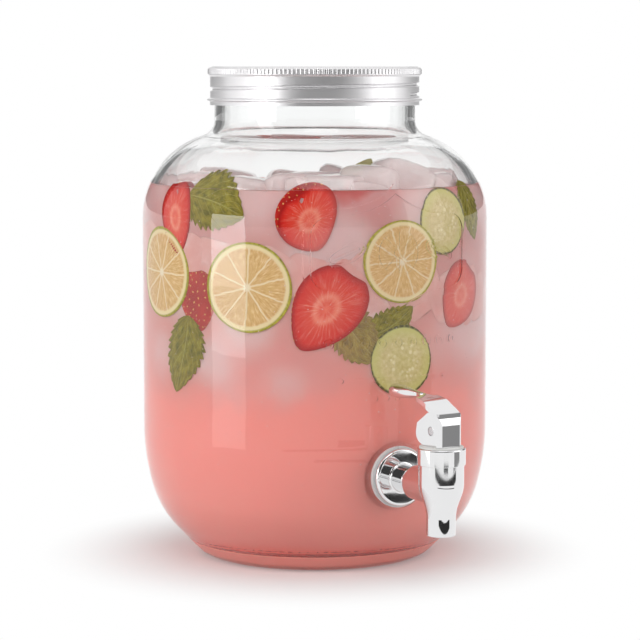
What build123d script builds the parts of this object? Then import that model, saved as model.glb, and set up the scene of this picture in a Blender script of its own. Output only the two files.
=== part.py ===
from build123d import *
import os
from math import cos, hypot, radians, sin, sqrt

# Glass beverage dispenser: a wide jar with a screw lid and a lever tap near its foot.
# Millimetres. +Z is up, the origin is the centre of the foot on the table, and the tap points along -Y.

# ---------------------------------------------------------------- driving dimensions
# Jar
body_r = 89.2
wall = 3.8
shoulder_z = 175.0
shoulder_r = 44.2
neck_r = 52.0
neck_sweep = 8.0
rim_z = 249.7
heel_z = 67.0
foot_r = 58.0
foot_in_r = 50.0
punt_h = 1.5
floor_z = 10.0
heel_run = 14.0
heel_turn = (84.9, 36.0)
bowl_turn = (80.8, 37.5)
bowl_foot = (66.0, 16.5)
rim_round = 1.6
foot_round = 8.0
punt_round = 2.0
punt_slope = 4.0
# Screw thread of the neck and the lid, one start
thread_pitch = 5.08
thread_turns = 1.05
thread_z = 240.6
thread_start = -35
bead_r = 51.7
bead_h = 1.5
bead_half = 1.3
# Lid
lid_top = 252.5
lid_r = 54.0
lid_bottom = 232.8
sheet = 0.5
gasket_gap = 0.05
# Tap, measured outwards along its shank and upwards from the table
tap_z = 52.0
inner_pad = 80.4
boss_face = 90.2
boss_r = 16.75
boss_depth = 6.2
boss_round = 0.7
inner_pad_depth = 6.0
hole_r = 8.3
washer_t = 2.0
flange_r = 14.15
flange_t = 3.0
tap_neck_r = 6.9
collar_r = 8.5
collar_start = 109.2
shank_r = 7.9
shank_end = 69.0
shank_bore_r = 4.6
barrel_s = 133.0
barrel_r = 10.9
spout_r = 7.1
spout_z = 30.0
spout_bore_r = 5.6
seam_z = 64.0
chamber_r = 8.0
seat_z = 45.5
seat_r = 4.4
bonnet_r = 11.65
bonnet_top = 72.3
stem_r = 2.6
stem_flat = 1.6
# Lever: its pin stands cam_height above the cam washer, and the lift is cam_rate for each radian of tilt
cam_height = 7.5
cam_rate = 4.5
cam_gap = 0.1
tilt_max = radians(35)
swivel_rest = 8.0
washer_top = bonnet_top + 0.7
pin_z = washer_top + cam_height
pin_r = 1.2
cheek_half = 6.4
strap_half = 7.3
hub_front = -7.4
knob_start = 15.5
knob_end = 39.6
knob_v = 15.2
knob_r = 3.4

barrel_axis = Axis((0, -barrel_s, 0), (0, 0, 1))
barrel_plane = Plane.XZ.offset(barrel_s)
shank_axis = Axis((0, 0, tap_z), (0, 1, 0))
lever_plane = Plane(
    origin=(0, -barrel_s, pin_z),
    x_dir=(-sin(radians(swivel_rest)), cos(radians(swivel_rest)), 0),
    z_dir=(cos(radians(swivel_rest)), sin(radians(swivel_rest)), 0),
)
# Where the shoulder arc turns into the hollow sweep of the neck
sweep_x = neck_r + neck_sweep
sweep_z = shoulder_z + sqrt((shoulder_r + neck_sweep) ** 2 - (sweep_x - body_r + shoulder_r) ** 2)


def shoulder_point(radius):
    """The point of the shoulder arc of that radius where the neck's sweep takes over."""
    centre_x = body_r - shoulder_r
    reach = shoulder_r + neck_sweep
    return (
        centre_x + radius * (sweep_x - centre_x) / reach,
        shoulder_z + radius * (sweep_z - shoulder_z) / reach,
    )


os.makedirs("parts", exist_ok=True)

# ---------------------------------------------------------------- glass jar
# One-start glass thread, a bead wound round the neck
with BuildPart() as glass_thread:
    with BuildLine():
        bead_path = Helix(thread_pitch, thread_pitch * thread_turns, bead_r, center=(0, 0, thread_z))
    with BuildSketch(Plane(origin=bead_path @ 0, x_dir=(1, 0, 0), z_dir=bead_path % 0)):
        Ellipse(bead_h, bead_half)
    sweep(is_frenet=True)

# Raised label panel: a rounded bracket-shaped border with a point at the top and the bottom,
# round a plain ornament
panel_half = 44.0
panel_low = 142.0
panel_high = 182.0
panel_point = 11.0
panel_round = 11.0
panel_band = 3.4
panel_relief = 0.9
relief_low = 86.0
relief_line = 1.3
wheel_z = 162.0
wheel_r = 11.5
leaf_at = 26.0
leaf_long = 10.0
leaf_short = 4.6
bead_row_z = 118.0
bead_ring_r = 2.4
bar_z = 100.0
bar_long = 48.0
dot_row_z = 91.0
dot_r = 1.4
skin_top = 50


def panel_outline():
    """Half of the panel's border line, from its top point round to its bottom point."""
    side = Polyline(
        (panel_half, panel_high - panel_round), (panel_half, panel_low + panel_round)
    )
    upper = RadiusArc(
        (panel_half - panel_round, panel_high), (panel_half, panel_high - panel_round), panel_round
    )
    lower = RadiusArc(
        (panel_half, panel_low + panel_round), (panel_half - panel_round, panel_low), panel_round
    )
    Spline(
        (0, panel_high + panel_point),
        (panel_half / 3, panel_high + 0.25 * panel_point),
        (panel_half - panel_round, panel_high),
        tangents=((1, -0.9), (1, 0)),
    )
    Spline(
        (panel_half - panel_round, panel_low),
        (panel_half / 3, panel_low - 0.25 * panel_point),
        (0, panel_low - panel_point),
        tangents=((-1, 0), (-1, -0.9)),
    )
    return side, upper, lower


with BuildPart() as panel_relief_skin:
    # A skin of glass that follows the body and the shoulder
    with BuildSketch(Plane.XZ):
        with BuildLine():
            Line((body_r - 1, relief_low), (body_r - 1, shoulder_z))
            skin_back = CenterArc((body_r - shoulder_r, shoulder_z), shoulder_r - 1, 0, skin_top)
            skin_face = CenterArc(
                (body_r - shoulder_r, shoulder_z), shoulder_r + panel_relief, 0, skin_top
            )
            Line(skin_back @ 1, skin_face @ 1)
            Polyline(
                (body_r + panel_relief, shoulder_z),
                (body_r + panel_relief, relief_low),
                (body_r - 1, relief_low),
            )
        make_face()
    revolve(axis=Axis.Z)
    with BuildSketch(Plane.XZ):
        with BuildLine():
            panel_outline()
            mirror(about=Plane.YZ)
        trace(line_width=panel_band)
        # A citrus wheel between two leaves
        with Locations((0, wheel_z)):
            Circle(wheel_r)
            Circle(wheel_r - relief_line, mode=Mode.SUBTRACT)
            with PolarLocations((wheel_r - relief_line) / 2 + 1, 8):
                Rectangle(wheel_r - relief_line - 2, relief_line)
        for side in (-1, 1):
            with Locations(Location((side * leaf_at, wheel_z), -side * 24)):
                Ellipse(leaf_long, leaf_short)
                Ellipse(leaf_long - relief_line, leaf_short - relief_line, mode=Mode.SUBTRACT)
                Rectangle(1.3 * leaf_long, relief_line)
        # Rows of beads and a bar under the panel
        with Locations((0, bead_row_z)):
            with GridLocations(8.6, 0, 9, 1):
                Circle(bead_ring_r)
                Circle(bead_ring_r - relief_line, mode=Mode.SUBTRACT)
        with Locations((0, bar_z)):
            RectangleRounded(bar_long, 2.4, 1.1)
            with GridLocations(bar_long + 10, 0, 2, 1):
                Circle(dot_r)
        with Locations((0, dot_row_z)):
            with GridLocations(6, 0, 5, 1):
                Circle(dot_r)
    extrude(amount=body_r + 10, mode=Mode.INTERSECT)

thread_turned = glass_thread.part.rotate(Axis.Z, thread_start)

with BuildPart() as glass_jar:
    with BuildSketch(Plane.XZ) as jar_section:
        with BuildLine():
            Polyline(
                (0, punt_h),
                (foot_in_r - punt_slope, punt_h),
                (foot_in_r, 0),
                (foot_r, 0),
                (foot_r + heel_run, heel_run),
            )
            heel_low = TangentArc((foot_r + heel_run, heel_run), heel_turn, tangent=(1, 1))
            TangentArc(heel_low @ 1, (body_r, heel_z), tangent=heel_low % 1)
            Line((body_r, heel_z), (body_r, shoulder_z))
            RadiusArc((body_r, shoulder_z), shoulder_point(shoulder_r), -shoulder_r)
            RadiusArc(shoulder_point(shoulder_r), (neck_r, sweep_z), neck_sweep)
            Polyline(
                (neck_r, sweep_z),
                (neck_r, rim_z),
                (neck_r - wall, rim_z),
                (neck_r - wall, sweep_z),
            )
            RadiusArc((neck_r - wall, sweep_z), shoulder_point(shoulder_r - wall), -(neck_sweep + wall))
            RadiusArc(shoulder_point(shoulder_r - wall), (body_r - wall, shoulder_z), shoulder_r - wall)
            Line((body_r - wall, shoulder_z), (body_r - wall, heel_z))
            bowl = TangentArc((body_r - wall, heel_z), bowl_turn, tangent=(0, -1))
            bowl_low = TangentArc(bowl @ 1, bowl_foot, tangent=bowl % 1)
            bowl_floor = TangentArc(bowl_low @ 1, (foot_in_r, floor_z), tangent=bowl_low % 1)
            Polyline(bowl_floor @ 1, (0, floor_z), (0, punt_h))
        make_face()
        for corner, radius in (
            ((foot_r, 0), foot_round),
            ((neck_r, rim_z), rim_round),
            ((neck_r - wall, rim_z), rim_round),
            ((foot_in_r - punt_slope, punt_h), punt_round),
        ):
            fillet(jar_section.vertices().sort_by_distance(corner)[0], radius=radius)
    revolve(axis=Axis.Z)
    # Flat pads pressed into the wall for the tap, outside and inside
    with BuildSketch(Plane.XZ.offset(boss_face)):
        with Locations((0, tap_z)):
            Circle(boss_r)
    extrude(amount=-boss_depth)
    fillet(glass_jar.faces().filter_by(Plane.XZ).sort_by(Axis.Y)[0].edges(), radius=boss_round)
    with BuildSketch(Plane.XZ.offset(inner_pad)):
        with Locations((0, tap_z)):
            Circle(boss_r + 0.3)
    extrude(amount=inner_pad_depth)
    with BuildSketch(Plane.XZ.offset(boss_face + 1)):
        with Locations((0, tap_z)):
            Circle(hole_r)
    extrude(amount=inner_pad - boss_face - 4, mode=Mode.SUBTRACT)
    add(thread_turned)
    add(panel_relief_skin.part)
glass_jar.part.label = "glass_jar"
export_step(glass_jar.part, "parts/glass_jar.step")

# ---------------------------------------------------------------- lid
# The lid's rolled thread lies below the glass one and pulls the lid down on it
roll_depth = 1.25
roll_half = 1.3
roll_below = 2.25
roll_lead = 0.05


def rolled_thread(radius, half):
    """A band wound round the lid wall at that radius, in step with the glass thread."""
    with BuildPart() as band:
        with BuildLine():
            path = Helix(
                thread_pitch,
                thread_pitch * (thread_turns + 2 * roll_lead),
                radius,
                center=(0, 0, thread_z - roll_below - roll_lead * thread_pitch),
            )
        with BuildSketch(Plane(origin=path @ 0, x_dir=(1, 0, 0), z_dir=path % 0)):
            Ellipse(roll_depth, half)
        sweep(is_frenet=True)
    return band.part.rotate(Axis.Z, thread_start - roll_lead * 360)


roll_inside = rolled_thread(lid_r - sheet, roll_half)
roll_outside = rolled_thread(lid_r, roll_half - sheet / 2)

with BuildPart() as inner_roll:
    add(roll_inside)
    Cylinder(lid_r - sheet / 2, 2 * lid_top, mode=Mode.INTERSECT)

with BuildPart() as lid_shell:
    with BuildSketch(Plane.XZ):
        with BuildLine():
            Polyline(
                (0, lid_top - 0.5),
                (48, lid_top - 0.5),
                (49.5, lid_top),
                (lid_r - 0.7, lid_top),
                (lid_r + 0.8, lid_top - 1.5),
                (lid_r + 0.8, 248.4),
                (lid_r, 247.4),
                (lid_r, 236.6),
                (lid_r + 1.5, 235.9),
                (lid_r + 1.5, 235.3),
                (lid_r + 0.1, 234.6),
                (lid_r + 0.1, lid_bottom),
                (lid_r + 0.1 - sheet, lid_bottom),
                (lid_r + 0.1 - sheet, 234.9),
                (lid_r + 1.5 - 1.2 * sheet, 235.6),
                (lid_r - sheet, 236.3),
                (lid_r - sheet, 247.6),
                (lid_r + 0.8 - sheet, 248.6),
                (lid_r + 0.8 - sheet, lid_top - 1.7),
                (lid_r - 0.9, lid_top - sheet),
                (49.7, lid_top - sheet),
                (48.2, lid_top - 0.5 - sheet),
                (0, lid_top - 0.5 - sheet),
                close=True,
            )
        make_face()
    revolve(axis=Axis.Z)
    add(inner_roll.part)
    add(roll_outside, mode=Mode.SUBTRACT)
lid_shell.part.label = "lid_shell"
export_step(lid_shell.part, "parts/lid_shell.step")

with BuildPart() as lid_gasket:
    with BuildSketch(Plane.XY.offset(rim_z + gasket_gap)):
        Circle(53.0)
        Circle(47.6, mode=Mode.SUBTRACT)
    extrude(amount=lid_top - 0.5 - sheet - gasket_gap - (rim_z + gasket_gap))
    fillet(lid_gasket.faces().sort_by(Axis.Z)[0].edges(), radius=0.5)
lid_gasket.part.label = "lid_gasket"
export_step(lid_gasket.part, "parts/lid_gasket.step")

# ---------------------------------------------------------------- tap body
flange_back = boss_face + washer_t
with BuildPart() as spigot_body:
    # Barrel with its waisted spout
    with BuildSketch(barrel_plane):
        with BuildLine():
            Polyline((0, spout_z), (spout_r, spout_z), (spout_r, spout_z + 8.5))
            Spline(
                (spout_r, spout_z + 8.5),
                (9.2, 47.6),
                (barrel_r, 55.5),
                tangents=((0, 1), (0, 1)),
            )
            Polyline(
                (barrel_r, 55.5),
                (barrel_r, seam_z),
                (9.7, seam_z),
                (9.7, 70),
                (0, 70),
                (0, spout_z),
            )
        make_face()
    revolve(axis=barrel_axis)
    # Shank, flange, neck and collar along the tap's horizontal axis
    with BuildSketch(Plane.YZ) as shank_section:
        with BuildLine():
            Polyline(
                (-shank_end, tap_z),
                (-shank_end, tap_z + shank_r - 1),
                (-shank_end - 1, tap_z + shank_r),
                (-flange_back, tap_z + shank_r),
                (-flange_back, tap_z + flange_r),
                (-flange_back - flange_t, tap_z + flange_r),
                (-flange_back - flange_t, tap_z + tap_neck_r),
                (-collar_start, tap_z + tap_neck_r),
                (-collar_start, tap_z + collar_r),
                (-barrel_s + 6, tap_z + collar_r),
                (-barrel_s + 6, tap_z),
                close=True,
            )
        make_face()
        for corner, radius in (
            ((-flange_back - flange_t, tap_z + flange_r), 1.4),
            ((-flange_back, tap_z + flange_r), 0.6),
            ((-flange_back - flange_t, tap_z + tap_neck_r), 1.0),
            ((-collar_start, tap_z + collar_r), 0.9),
            ((-collar_start, tap_z + tap_neck_r), 0.5),
        ):
            fillet(shank_section.vertices().sort_by_distance((corner[0], corner[1]))[0], radius=radius)
    revolve(axis=shank_axis)
    # Waterway: the chamber, the seat and the spout's bore, then the bore of the shank
    with BuildSketch(barrel_plane):
        with BuildLine():
            Polyline(
                (0, spout_z - 1),
                (spout_bore_r, spout_z - 1),
                (spout_bore_r, seat_z - 3),
                (seat_r, seat_z - 2),
                (seat_r, seat_z),
                (seat_r + 1, seat_z + 1),
                (chamber_r, seat_z + 1),
                (chamber_r, 66.4),
                (8.8, 66.4),
                (8.8, 71),
                (0, 71),
                close=True,
            )
        make_face()
    revolve(axis=barrel_axis, mode=Mode.SUBTRACT)
    with BuildSketch(Plane.XZ.offset(shank_end - 1)):
        with Locations((0, tap_z)):
            Circle(shank_bore_r)
    extrude(amount=barrel_s - 3 - shank_end, mode=Mode.SUBTRACT)
    spout_edge = spigot_body.edges().filter_by(GeomType.CIRCLE).sort_by(Axis.Z)[0:2]
    fillet(spout_edge, radius=0.4)
spigot_body.part.label = "spigot_body"
export_step(spigot_body.part, "parts/spigot_body.step")

# Screwed ring that closes the barrel
with BuildPart() as bonnet_ring:
    with BuildSketch(barrel_plane) as bonnet_section:
        with BuildLine():
            Polyline(
                (9.85, seam_z + 0.1),
                (bonnet_r, seam_z + 0.1),
                (bonnet_r, bonnet_top),
                (3.1, bonnet_top),
                (3.1, 70.15),
                (9.85, 70.15),
                close=True,
            )
        make_face()
        fillet(bonnet_section.vertices().sort_by_distance((bonnet_r, bonnet_top))[0], radius=0.8)
        fillet(bonnet_section.vertices().sort_by_distance((bonnet_r, seam_z))[0], radius=0.3)
    revolve(axis=barrel_axis)
bonnet_ring.part.label = "bonnet_ring"
export_step(bonnet_ring.part, "parts/bonnet_ring.step")

# Nylon bushing under the ring: it guides the stem and backs the spring
bushing_end = 66.0
with BuildPart() as guide_bushing:
    with BuildSketch(barrel_plane):
        with BuildLine():
            Polyline(
                (stem_r + 0.05, bushing_end),
                (5.2, bushing_end),
                (5.2, 68.6),
                (8.7, 68.6),
                (8.7, 70.1),
                (stem_r + 0.05, 70.1),
                close=True,
            )
        make_face()
    revolve(axis=barrel_axis)
guide_bushing.part.label = "guide_bushing"
export_step(guide_bushing.part, "parts/guide_bushing.step")

# Silicone cup: its rim is clamped under the bushing and its plug closes the seat
collar_z = 56.1
with BuildPart() as seat_cup:
    with BuildSketch(barrel_plane):
        with BuildLine():
            Polyline(
                (0, seat_z + 0.05),
                (seat_r - 0.15, seat_z + 0.05),
                (seat_r + 0.8, seat_z + 1),
                (5.2, 54),
                (6.9, 56),
                (7.2, 60),
                (7.2, 66.5),
                (8.7, 66.5),
                (8.7, 68.5),
                (6.2, 68.5),
                (6.2, 60),
                (5.9, 56),
                (2.3, 56),
                (2.3, 53.1),
                (3.1, 53.1),
                (3.1, 49.9),
                (0, 49.9),
                close=True,
            )
        make_face()
    revolve(axis=barrel_axis)
seat_cup.part.label = "seat_cup"
export_step(seat_cup.part, "parts/seat_cup.step")

# Valve stem: bulb in the cup, collar under the spring, and a tongue with two flats for the lever's pin
tongue_z = 69.4
with BuildPart() as stem_tongue:
    with BuildSketch(lever_plane):
        with Locations((0, (tongue_z - pin_z) / 2)):
            Rectangle(2 * stem_r, pin_z - tongue_z)
        Circle(stem_r)
        Circle(pin_r + 0.02, mode=Mode.SUBTRACT)
    extrude(amount=stem_flat, both=True)
    with BuildSketch(Plane(origin=(0, -barrel_s, tongue_z - 1))):
        Circle(stem_r)
    extrude(amount=pin_z + stem_r - tongue_z + 2, mode=Mode.INTERSECT)

with BuildPart() as valve_stem:
    with BuildSketch(barrel_plane):
        with BuildLine():
            Polyline(
                (0, 50),
                (3, 50),
                (3, 53),
                (2.2, 53),
                (2.2, collar_z),
                (5, collar_z),
                (5, collar_z + 1.2),
                (stem_r, collar_z + 1.2),
                (stem_r, tongue_z),
                (0, tongue_z),
                close=True,
            )
        make_face()
    revolve(axis=barrel_axis)
    add(stem_tongue.part)
valve_stem.part.label = "valve_stem"
export_step(valve_stem.part, "parts/valve_stem.step")

# Compression spring between the stem's collar and the bushing
spring_wire = 0.4
spring_low = collar_z + 1.2 + 0.05 + spring_wire
spring_high = bushing_end - 0.05 - spring_wire
with BuildPart() as return_spring:
    with BuildLine():
        coil = Helix(
            (spring_high - spring_low) / 4.5,
            spring_high - spring_low,
            4.3,
            center=(0, -barrel_s, spring_low),
        )
    with BuildSketch(Plane(origin=coil @ 0, z_dir=coil % 0)):
        Circle(spring_wire)
    sweep(is_frenet=True)
return_spring.part.label = "return_spring"
export_step(return_spring.part, "parts/return_spring.step")

# Nylon wear washer under the lever's cams, keyed on the stem's flats so that it turns with the lever
with BuildPart() as cam_washer:
    with BuildSketch(Plane(origin=(0, -barrel_s, bonnet_top + 0.05), x_dir=lever_plane.x_dir)):
        Circle(10.6)
        Rectangle(2 * stem_r + 0.1, 2 * stem_flat + 0.2, mode=Mode.SUBTRACT)
    extrude(amount=washer_top - bonnet_top - 0.05)
    fillet(cam_washer.faces().sort_by(Axis.Z)[-1].edges().filter_by(GeomType.CIRCLE), radius=0.25)
cam_washer.part.label = "cam_washer"
export_step(cam_washer.part, "parts/cam_washer.step")


# ---------------------------------------------------------------- lever
def cam_point(angle):
    """The point of the cam that touches the washer when the lever has tilted by that angle.
    The distance from pin to washer grows by cam_rate for each radian, so the curve is an involute."""
    height = cam_height - cam_gap + cam_rate * angle
    return (
        height * sin(angle) + cam_rate * cos(angle),
        cam_rate * sin(angle) - height * cos(angle),
    )


with BuildPart() as lever:
    # Hub: two cheeks with the cam along their lower edge
    with BuildSketch(lever_plane):
        with BuildLine():
            cam_steps = 6
            cam_points = [cam_point(tilt_max * i / cam_steps) for i in range(cam_steps + 1)]
            Line((hub_front + 1, cam_gap - cam_height), cam_points[0])
            cam = Spline(*cam_points, tangents=((1, 0), (cos(tilt_max), sin(tilt_max))))
            back = TangentArc(cam @ 1, (11.4, -0.6), tangent=cam % 1)
            Polyline(
                back @ 1,
                (10.7, 3.0),
                (2.5, 8.6),
                (hub_front + 1, 8.6),
                (hub_front + 1, cam_gap - cam_height),
            )
        make_face()
    extrude(amount=cheek_half, both=True)
    # Strap: up the front of the hub, over its top and back towards the knob
    with BuildSketch(lever_plane):
        with BuildLine():
            Line((hub_front, cam_gap - cam_height), (hub_front, 2.5))
            Spline(
                (hub_front, 2.5),
                (-4.6, 8.4),
                (1.5, 11.7),
                (knob_start + 2, knob_v + 0.9),
                tangents=((0, 1), (1, 0.15)),
            )
            Line((knob_start + 2, knob_v + 0.9), (knob_start + 2, knob_v - 0.9))
            Spline(
                (knob_start + 2, knob_v - 0.9),
                (1.5, 9.5),
                (-3.2, 6.4),
                (hub_front + 2.2, 1),
                tangents=((-1, -0.15), (0, -1)),
            )
            Polyline(
                (hub_front + 2.2, 1),
                (hub_front + 2.2, cam_gap - cam_height),
                (hub_front, cam_gap - cam_height),
            )
        make_face()
    extrude(amount=strap_half, both=True)
    # Its plan: full width over the hub, drawn in towards the knob, with the front corners cut
    with BuildSketch(Plane(origin=lever_plane.origin - (0, 0, 20), x_dir=lever_plane.x_dir)):
        with BuildLine():
            Polyline((0, strap_half), (hub_front + 1.8, strap_half), (hub_front - 0.1, strap_half - 2.2))
            Line((hub_front - 0.1, strap_half - 2.2), (hub_front - 0.1, 2.2 - strap_half))
            Polyline((hub_front - 0.1, 2.2 - strap_half), (hub_front + 1.8, -strap_half), (0, -strap_half))
            Polyline((0, -strap_half), (3, -strap_half), (11.6, -cheek_half), (11.6, -4))
            Spline((11.6, -4), (knob_start + 2, -1.7), tangents=((1, 0.6), (1, 0.1)))
            Line((knob_start + 2, -1.7), (knob_start + 2, 1.7))
            Spline((knob_start + 2, 1.7), (11.6, 4), tangents=((-1, 0.1), (-1, 0.6)))
            Polyline((11.6, 4), (11.6, cheek_half), (3, strap_half), (0, strap_half))
        make_face()
    extrude(amount=45, mode=Mode.INTERSECT)
    # Knob
    with BuildSketch(lever_plane):
        with BuildLine():
            Line((knob_start, knob_v), (knob_start, knob_v + 1.2))
            Spline(
                (knob_start, knob_v + 1.2),
                (knob_end - 6.5, knob_v + knob_r),
                (knob_end, knob_v),
                tangents=((1, 0.12), (0, -1)),
            )
            Line((knob_end, knob_v), (knob_start, knob_v))
        make_face()
    revolve(axis=Axis(lever_plane.from_local_coords((0, knob_v, 0)), lever_plane.x_dir))
    # Slot for the stem's tongue, open below and behind, the pin's hole and the seat of its head
    with BuildSketch(lever_plane):
        with Locations((4.4, -2.4)):
            Rectangle(15.6, 12)
    extrude(amount=stem_flat + 0.15, both=True, mode=Mode.SUBTRACT)
    with BuildSketch(lever_plane):
        Circle(pin_r + 0.06)
    extrude(amount=2 * cheek_half, both=True, mode=Mode.SUBTRACT)
    with BuildSketch(lever_plane.offset(-cheek_half - 1)):
        Circle(2.2)
    extrude(amount=1.8, mode=Mode.SUBTRACT)
lever.part.label = "lever"
export_step(lever.part, "parts/lever.step")

with BuildPart() as lever_pin:
    with BuildSketch(lever_plane.offset(0.1 - cheek_half)):
        Circle(2.1)
    extrude(amount=0.65)
    with BuildSketch(lever_plane.offset(0.1 - cheek_half)):
        Circle(pin_r)
    extrude(amount=2 * cheek_half - 0.2)
    fillet(lever_pin.edges().filter_by(GeomType.CIRCLE).sort_by(Axis.X)[0], radius=0.3)
lever_pin.part.label = "lever_pin"
export_step(lever_pin.part, "parts/lever_pin.step")


# ---------------------------------------------------------------- seals and nut of the shank
def shank_ring(start, thickness, radius, bore):
    """A flat ring on the shank, from start outwards."""
    with BuildPart() as ring:
        with BuildSketch(Plane.XZ.offset(start)):
            with Locations((0, tap_z)):
                Circle(radius)
                Circle(bore, mode=Mode.SUBTRACT)
        extrude(amount=thickness)
        fillet(ring.edges().filter_by(GeomType.CIRCLE).group_by(SortBy.RADIUS)[-1], radius=0.4)
    return ring.part


backing_t = 1.2
seal_gap = 0.05
outer_washer = shank_ring(boss_face, washer_t, 15.2, shank_r + seal_gap)
outer_washer.label = "outer_washer"
export_step(outer_washer, "parts/outer_washer.step")

inner_washer = shank_ring(inner_pad - washer_t, washer_t, 14, shank_r + seal_gap)
inner_washer.label = "inner_washer"
export_step(inner_washer, "parts/inner_washer.step")

backing_washer = shank_ring(inner_pad - washer_t - backing_t, backing_t, 13, shank_r + 2 * seal_gap)
backing_washer.label = "backing_washer"
export_step(backing_washer, "parts/backing_washer.step")

nut_t = 6.5
with BuildPart() as lock_nut:
    with BuildSketch(Plane.XZ.offset(inner_pad - washer_t - backing_t - nut_t)):
        with Locations((0, tap_z)):
            RegularPolygon(radius=11.5, side_count=6, major_radius=False)
            Circle(shank_r + seal_gap, mode=Mode.SUBTRACT)
    extrude(amount=nut_t)
    chamfer(lock_nut.edges().filter_by(GeomType.CIRCLE), length=0.5)
lock_nut.part.label = "lock_nut"
export_step(lock_nut.part, "parts/lock_nut.step")

print("lift of the valve at full tilt, mm:", round(cam_rate * tilt_max, 3))
print("pin at z", pin_z, "lever reach", round(hypot(knob_end, knob_v), 2))
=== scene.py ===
from math import atan2, cos, pi, radians, sin
from random import Random

import bmesh
import bpy
from mathutils import Matrix, Vector


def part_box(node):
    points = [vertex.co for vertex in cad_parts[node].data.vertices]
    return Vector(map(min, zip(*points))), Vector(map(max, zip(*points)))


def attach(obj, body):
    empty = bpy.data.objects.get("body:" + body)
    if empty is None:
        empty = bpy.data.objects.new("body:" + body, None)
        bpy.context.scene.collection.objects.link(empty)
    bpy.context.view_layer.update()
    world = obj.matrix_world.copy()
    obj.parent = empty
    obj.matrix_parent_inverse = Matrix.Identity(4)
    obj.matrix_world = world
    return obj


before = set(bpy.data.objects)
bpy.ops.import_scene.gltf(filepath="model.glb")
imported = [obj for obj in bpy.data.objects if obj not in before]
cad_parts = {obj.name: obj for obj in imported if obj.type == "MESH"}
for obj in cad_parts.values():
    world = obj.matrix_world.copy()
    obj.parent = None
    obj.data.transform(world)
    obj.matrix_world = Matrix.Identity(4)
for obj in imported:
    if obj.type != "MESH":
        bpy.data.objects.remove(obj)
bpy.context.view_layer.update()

# Glass drink dispenser: finishes for the jar, lid and tap, and the drink, ice and fruit that the jar holds.
# Metres. The tap points along -Y.
SEE_FROM = radians(-117)      # the side of the jar that faces the camera, as an angle round the jar's axis
DRINK_TOP = 0.1905            # the drink's surface
DRINK_SINK = 0.0002           # the contents wet the glass: the drink reaches this far into it
FRUIT_SINK = 0.0008           # and the fruit against the wall this far, in layers
LAYER = 0.00014
lid_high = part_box("lid_shell")[1]
jar_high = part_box("glass_jar")[1]


# ------------------------------------------------------------------ modelling
def deselect():
    bpy.ops.object.select_all(action="DESELECT")


def edit(piece):
    """Opens a piece in edit mode with everything in it selected."""
    deselect()
    bpy.context.view_layer.objects.active = piece
    piece.select_set(True)
    bpy.ops.object.mode_set(mode="EDIT")
    bpy.ops.mesh.select_all(action="SELECT")


def close(piece, name):
    """Leaves edit mode, puts the piece's place into its mesh and smooths it."""
    bpy.ops.object.mode_set(mode="OBJECT")
    bpy.ops.object.transform_apply(location=True, rotation=True, scale=True)
    piece.name = name
    piece.data.name = name
    bpy.ops.object.shade_smooth_by_angle(angle=radians(40))
    return piece


def apply_all(piece):
    """Applies a piece's modifiers."""
    deselect()
    bpy.context.view_layer.objects.active = piece
    piece.select_set(True)
    for modifier in list(piece.modifiers):
        bpy.ops.object.modifier_apply(modifier=modifier.name)


def turned(name, outline, steps=160):
    """A form turned on a lathe about the jar's axis from an outline of (radius, height)."""
    deselect()
    bpy.ops.mesh.primitive_plane_add(size=0.001, location=(outline[0][0], 0, outline[0][1]))
    piece = bpy.context.object
    bpy.ops.object.mode_set(mode="EDIT")
    bpy.ops.mesh.merge(type="CENTER")
    for (r0, z0), (r1, z1) in zip(outline, outline[1:]):
        bpy.ops.mesh.extrude_region_move(TRANSFORM_OT_translate={"value": (r1 - r0, 0, z1 - z0)})
    bpy.ops.mesh.select_all(action="SELECT")
    bpy.ops.mesh.spin(steps=steps, angle=2 * pi, center=(0, 0, 0), axis=(0, 0, 1))
    bpy.ops.mesh.select_all(action="SELECT")
    bpy.ops.mesh.remove_doubles(threshold=0.000002)
    bpy.ops.mesh.normals_make_consistent(inside=False)
    return close(piece, name)


def wall_profile():
    """Radius of the jar's inner wall every half millimetre, felt out from the axis towards the back."""
    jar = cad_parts["glass_jar"]
    radii = []
    for step in range(round(jar_high.z / WALL_STEP)):
        found, place, _, _ = jar.ray_cast(Vector((0, 0, step * WALL_STEP)), Vector((0, 1, 0)))
        radii.append(place.y if found else 0.0)
    return radii


WALL_STEP = 0.0005
WALL = wall_profile()
# Meant as the height of the jar's inner floor. It comes out as 0, because the ray at the foot meets
# glass too, so the drink also fills the glass bottom.
FLOOR_INSIDE = next(i for i, radius in enumerate(WALL) if radius > 0.04) * WALL_STEP


def wall_radius(z):
    """Radius of the jar's inner wall at that height."""
    step = min(max(z, FLOOR_INSIDE), jar_high.z - 4 * WALL_STEP) / WALL_STEP
    low = int(step)
    return WALL[low] + (WALL[low + 1] - WALL[low]) * (step - low)


def tilt(roll=0.0, yaw=0.0, pitch=0.0):
    """Turns a flat piece in its own plane, then swings it to one side and up or down."""
    swing = Matrix.Rotation(radians(yaw), 4, "Y") @ Matrix.Rotation(radians(pitch), 4, "X")
    return swing @ Matrix.Rotation(radians(roll), 4, "Z")


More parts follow.
